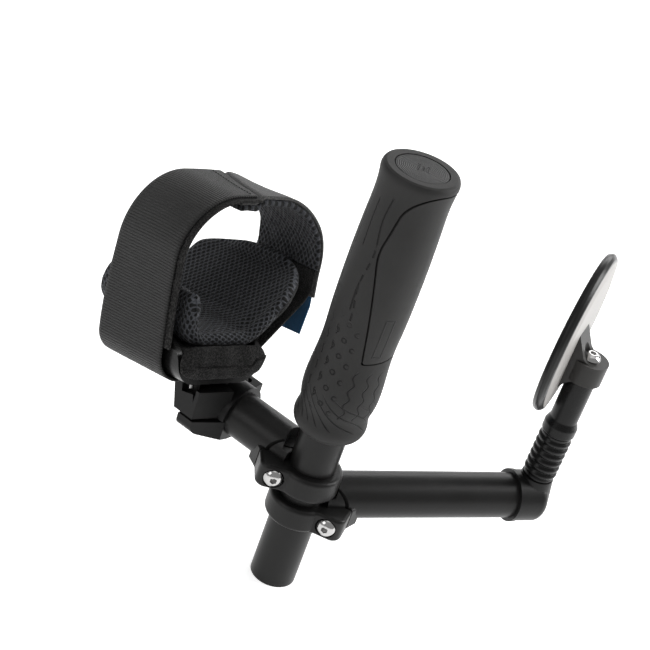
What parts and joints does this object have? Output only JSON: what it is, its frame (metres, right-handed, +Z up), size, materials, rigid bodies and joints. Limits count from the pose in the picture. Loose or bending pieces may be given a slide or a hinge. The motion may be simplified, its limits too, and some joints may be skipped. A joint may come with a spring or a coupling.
{
  "type": "handlebar end with arm cuff and mirror",
  "caption": "Upright handlebar tube with a shaped rubber grip, two clamped side arms, an adjustable strapped forearm cuff and a round mirror on a flexible neck.",
  "frame": {"origin": "centre of the handlebar tube's lower end", "axes": "+Z up along the tube towards the grip, -Y towards the side of the clamp bolts, +X towards the mirror arm"},
  "size_m": [0.2461, 0.1281, 0.2272],
  "materials": {
    "tube_black": "satin",
    "inner_plastic": "matte",
    "grip_rubber": "matte",
    "plug_rubber": "matte",
    "forged_black": "satin",
    "bolt_chrome": "polished",
    "black_plastic": "satin",
    "bracket_black": "satin",
    "bolt_steel": "satin",
    "shell_plastic": "satin",
    "pile_fabric": "matte",
    "mesh_fabric": "matte",
    "webbing_fabric": "matte",
    "hook_fabric": "matte",
    "tab_fabric": "matte",
    "bellows_rubber": "satin",
    "stem_plastic": "satin",
    "bracket_grey": "matte",
    "housing_gloss": "gloss",
    "foam": "matte",
    "mirror_face": "polished"
  },
  "bodies": {
    "handlebar": {"handlebar_tube": "tube_black", "grip_sleeve": "inner_plastic", "grip_body": "grip_rubber", "grip_palm_panel": "grip_rubber", "grip_end_plug": "plug_rubber"},
    "left_arm": {"left_bar_end": "forged_black", "left_clamp_bolt": "bolt_chrome", "left_arm_plug": "black_plastic"},
    "right_arm": {"right_bar_end": "forged_black", "right_clamp_bolt": "bolt_chrome"},
    "cuff": {"cuff_bracket_upper": "bracket_black", "cuff_bracket_lower": "bracket_black", "cuff_clamp_bolts": "bolt_steel", "cuff_shell": "shell_plastic", "strap_pin": "bolt_steel", "cuff_shell_screws": "bolt_steel", "cuff_lining": "pile_fabric", "cuff_pad": "mesh_fabric", "loop_strap": "pile_fabric", "mesh_lining": "mesh_fabric", "strap_anchor": "pile_fabric", "pull_tab": "tab_fabric"},
    "strap": {"strap_webbing": "webbing_fabric", "strap_hook_patch": "hook_fabric"},
    "mirror_base": {"mirror_elbow": "black_plastic", "mirror_expander": "inner_plastic", "mirror_expander_bolt": "bolt_steel", "neck_socket_seat": "inner_plastic", "bellows": "bellows_rubber"},
    "neck": {"neck_ball": "bolt_steel", "mirror_stem": "stem_plastic", "mirror_pivot_screw": "bolt_chrome"},
    "mirror_head": {"mirror_bracket": "bracket_grey", "mirror_housing": "housing_gloss", "mirror_foam_pad": "foam", "mirror_glass": "mirror_face"}
  },
  "joints": [
    {"name": "left_arm_turn", "type": "hinge", "parent": "handlebar", "child": "left_arm", "pos_m": [0, 0, 0.0663], "axis": [0, 0, 1], "range_deg": [-25, 25]},
    {"name": "right_arm_turn", "type": "hinge", "parent": "handlebar", "child": "right_arm", "pos_m": [0, 0, 0.0491], "axis": [0, 0, 1], "range_deg": [-25, 25]},
    {"name": "cuff_turn", "type": "hinge", "parent": "left_arm", "child": "cuff", "pos_m": [-0.0478, 0.0229, 0.0663], "axis": [-0.9018, 0.4321, 0], "range_deg": [-20, 20]},
    {"name": "strap_swing", "type": "hinge", "parent": "cuff", "child": "strap", "pos_m": [-0.0888, 0.01682, 0.07895], "axis": [0.7211, -0.6159, 0.3173], "range_deg": [0, 42]},
    {"name": "mirror_base_turn", "type": "hinge", "parent": "right_arm", "child": "mirror_base", "pos_m": [0.09606, 0.06026, 0.0491], "axis": [0.8471, 0.5314, 0], "continuous": true},
    {"name": "neck_tilt", "type": "hinge", "parent": "mirror_base", "child": "neck", "pos_m": [0.10631, 0.06669, 0.0731], "axis": [-0.5314, 0.8471, 0], "range_deg": [-15, 15]},
    {"name": "mirror_head_turn", "type": "hinge", "parent": "neck", "child": "mirror_head", "pos_m": [0.10631, 0.06669, 0.1291], "axis": [0, 0, 1], "continuous": true}
  ]
}
